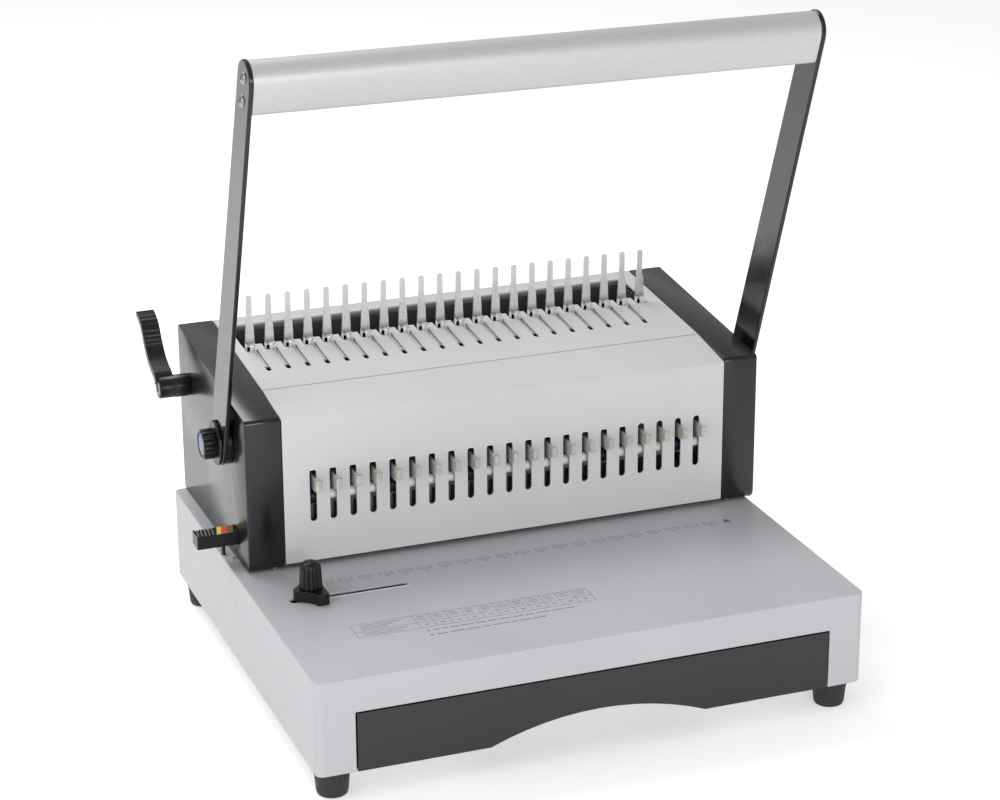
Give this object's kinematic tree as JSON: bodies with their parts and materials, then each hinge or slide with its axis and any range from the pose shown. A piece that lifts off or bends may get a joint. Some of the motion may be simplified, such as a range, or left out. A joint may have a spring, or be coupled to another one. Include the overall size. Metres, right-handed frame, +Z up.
{
  "type": "comb binding machine",
  "caption": "Manual comb binding machine: lever-driven hole punch with pull tabs, comb opener with upright fingers, chip drawer and adjustable paper guides",
  "frame": {"origin": "centre of the footprint of the bounding box, at the bottom of the feet", "axes": "+X to the right along the row of slots, +Y from the front to the rear, +Z up"},
  "size_m": [0.424, 0.3766, 0.4575],
  "materials": {
    "pale_paint": "fine satin powder coat",
    "anthracite": "glossy dark grey",
    "grip_grey": "smooth metallic grey paint",
    "black_plastic": "moulded black",
    "bright_steel": "bright stamped steel",
    "dull_steel": "dull zinc-plated steel",
    "foot_rubber": "matt black rubber"
  },
  "bodies": {
    "frame": {"base_shell": "pale_paint", "bottom_plate": "dull_steel", "foot_front_left": "foot_rubber", "foot_front_right": "foot_rubber", "foot_rear_left": "foot_rubber", "foot_rear_right": "foot_rubber", "die_plate": "dull_steel", "punch_guide": "dull_steel", "cover": "pale_paint", "left_end_cap": "anthracite", "right_end_cap": "anthracite", "left_side_frame": "dull_steel", "right_side_frame": "dull_steel", "comb_trough": "black_plastic", "finger_plate": "bright_steel", "return_spring": "bright_steel"},
    "handle": {"left_arm": "anthracite", "right_arm": "anthracite", "grip": "grip_grey", "main_shaft": "dull_steel", "left_spacer": "black_plastic", "right_spacer": "black_plastic", "left_washer": "black_plastic", "right_washer": "black_plastic", "left_pivot_knob": "black_plastic", "right_pivot_knob": "black_plastic", "left_pinion": "dull_steel", "right_pinion": "dull_steel"},
    "punch": {"punch_carriage": "dull_steel", "pressure_bar": "bright_steel"},
    "opener_lever": {"comb_lever": "anthracite", "lever_shaft": "dull_steel"},
    "hooks": {"hook_plate": "bright_steel"},
    "slider": {"margin_slider": "black_plastic"},
    "depth_stop": {"depth_stop_bar": "dull_steel"},
    "edge_guide": {"edge_guide_block": "black_plastic", "edge_guide_clamp": "dull_steel"},
    "guide_knob": {"edge_guide_knob": "black_plastic"},
    "tray": {"chip_tray": "anthracite"},
    "tab_01": {"pull_tab_01": "bright_steel"},
    "tab_02": {"pull_tab_02": "bright_steel"},
    "tab_03": {"pull_tab_03": "bright_steel"},
    "tab_04": {"pull_tab_04": "bright_steel"},
    "tab_05": {"pull_tab_05": "bright_steel"},
    "tab_06": {"pull_tab_06": "bright_steel"},
    "tab_07": {"pull_tab_07": "bright_steel"},
    "tab_08": {"pull_tab_08": "bright_steel"},
    "tab_09": {"pull_tab_09": "bright_steel"},
    "tab_10": {"pull_tab_10": "bright_steel"},
    "tab_11": {"pull_tab_11": "bright_steel"},
    "tab_12": {"pull_tab_12": "bright_steel"},
    "tab_13": {"pull_tab_13": "bright_steel"},
    "tab_14": {"pull_tab_14": "bright_steel"},
    "tab_15": {"pull_tab_15": "bright_steel"},
    "tab_16": {"pull_tab_16": "bright_steel"},
    "tab_17": {"pull_tab_17": "bright_steel"},
    "tab_18": {"pull_tab_18": "bright_steel"},
    "tab_19": {"pull_tab_19": "bright_steel"},
    "tab_20": {"pull_tab_20": "bright_steel"},
    "tab_21": {"pull_tab_21": "bright_steel"}
  },
  "joints": [
    {"name": "handle_pull", "type": "hinge", "parent": "frame", "child": "handle", "pos_m": [0.007, 0.0322, 0.169], "axis": [1, 0, 0], "range_deg": [0, 65], "stiffness_Nm_per_rad": 1.2, "springref_deg": -68.75},
    {"name": "punch_press", "type": "slide", "parent": "frame", "child": "punch", "axis": [0, 0, -1], "range_m": [0, 0.01816]},
    {"name": "comb_lever_pull", "type": "hinge", "parent": "frame", "child": "opener_lever", "pos_m": [0.007, 0.1367, 0.1755], "axis": [1, 0, 0], "range_deg": [0, 90]},
    {"name": "hook_slide", "type": "slide", "parent": "frame", "child": "hooks", "axis": [0, -0.9962, -0.0868], "range_m": [0, 0.02987]},
    {"name": "margin_set", "type": "slide", "parent": "frame", "child": "slider", "axis": [1, 0, 0], "range_m": [0, 0.0145]},
    {"name": "depth_stop_shift", "type": "slide", "parent": "frame", "child": "depth_stop", "axis": [0, -1, 0], "range_m": [0, 0.00363]},
    {"name": "edge_guide_slide", "type": "slide", "parent": "frame", "child": "edge_guide", "axis": [1, 0, 0], "range_m": [-0.009, 0.065]},
    {"name": "guide_knob_turn", "type": "hinge", "parent": "edge_guide", "child": "guide_knob", "pos_m": [-0.1545, -0.0618, 0.094], "axis": [0, 0, 1], "range_deg": [-180, 180]},
    {"name": "chip_tray_pull", "type": "slide", "parent": "frame", "child": "tray", "axis": [0, -1, 0], "range_m": [0, 0.2]},
    {"name": "tab_01_pull", "type": "slide", "parent": "punch", "child": "tab_01", "axis": [0, -1, 0], "range_m": [0, 0.008]},
    {"name": "tab_02_pull", "type": "slide", "parent": "punch", "child": "tab_02", "axis": [0, -1, 0], "range_m": [0, 0.008]},
    {"name": "tab_03_pull", "type": "slide", "parent": "punch", "child": "tab_03", "axis": [0, -1, 0], "range_m": [0, 0.008]},
    {"name": "tab_04_pull", "type": "slide", "parent": "punch", "child": "tab_04", "axis": [0, -1, 0], "range_m": [0, 0.008]},
    {"name": "tab_05_pull", "type": "slide", "parent": "punch", "child": "tab_05", "axis": [0, -1, 0], "range_m": [0, 0.008]},
    {"name": "tab_06_pull", "type": "slide", "parent": "punch", "child": "tab_06", "axis": [0, -1, 0], "range_m": [0, 0.008]},
    {"name": "tab_07_pull", "type": "slide", "parent": "punch", "child": "tab_07", "axis": [0, -1, 0], "range_m": [0, 0.008]},
    {"name": "tab_08_pull", "type": "slide", "parent": "punch", "child": "tab_08", "axis": [0, -1, 0], "range_m": [0, 0.008]},
    {"name": "tab_09_pull", "type": "slide", "parent": "punch", "child": "tab_09", "axis": [0, -1, 0], "range_m": [0, 0.008]},
    {"name": "tab_10_pull", "type": "slide", "parent": "punch", "child": "tab_10", "axis": [0, -1, 0], "range_m": [0, 0.008]},
    {"name": "tab_11_pull", "type": "slide", "parent": "punch", "child": "tab_11", "axis": [0, -1, 0], "range_m": [0, 0.008]},
    {"name": "tab_12_pull", "type": "slide", "parent": "punch", "child": "tab_12", "axis": [0, -1, 0], "range_m": [0, 0.008]},
    {"name": "tab_13_pull", "type": "slide", "parent": "punch", "child": "tab_13", "axis": [0, -1, 0], "range_m": [0, 0.008]},
    {"name": "tab_14_pull", "type": "slide", "parent": "punch", "child": "tab_14", "axis": [0, -1, 0], "range_m": [0, 0.008]},
    {"name": "tab_15_pull", "type": "slide", "parent": "punch", "child": "tab_15", "axis": [0, -1, 0], "range_m": [0, 0.008]},
    {"name": "tab_16_pull", "type": "slide", "parent": "punch", "child": "tab_16", "axis": [0, -1, 0], "range_m": [0, 0.008]},
    {"name": "tab_17_pull", "type": "slide", "parent": "punch", "child": "tab_17", "axis": [0, -1, 0], "range_m": [0, 0.008]},
    {"name": "tab_18_pull", "type": "slide", "parent": "punch", "child": "tab_18", "axis": [0, -1, 0], "range_m": [0, 0.008]},
    {"name": "tab_19_pull", "type": "slide", "parent": "punch", "child": "tab_19", "axis": [0, -1, 0], "range_m": [0, 0.008]},
    {"name": "tab_20_pull", "type": "slide", "parent": "punch", "child": "tab_20", "axis": [0, -1, 0], "range_m": [0, 0.008]},
    {"name": "tab_21_pull", "type": "slide", "parent": "punch", "child": "tab_21", "axis": [0, -1, 0], "range_m": [0, 0.008]}
  ],
  "couplings": [
    {"joint": "punch_press", "follows": "handle_pull", "m_per_rad": 0.016},
    {"joint": "comb_lever_pull", "follows": "hook_slide", "rad_per_m": 52.576},
    {"joint": "depth_stop_shift", "follows": "margin_set", "ratio": 0.25}
  ]
}
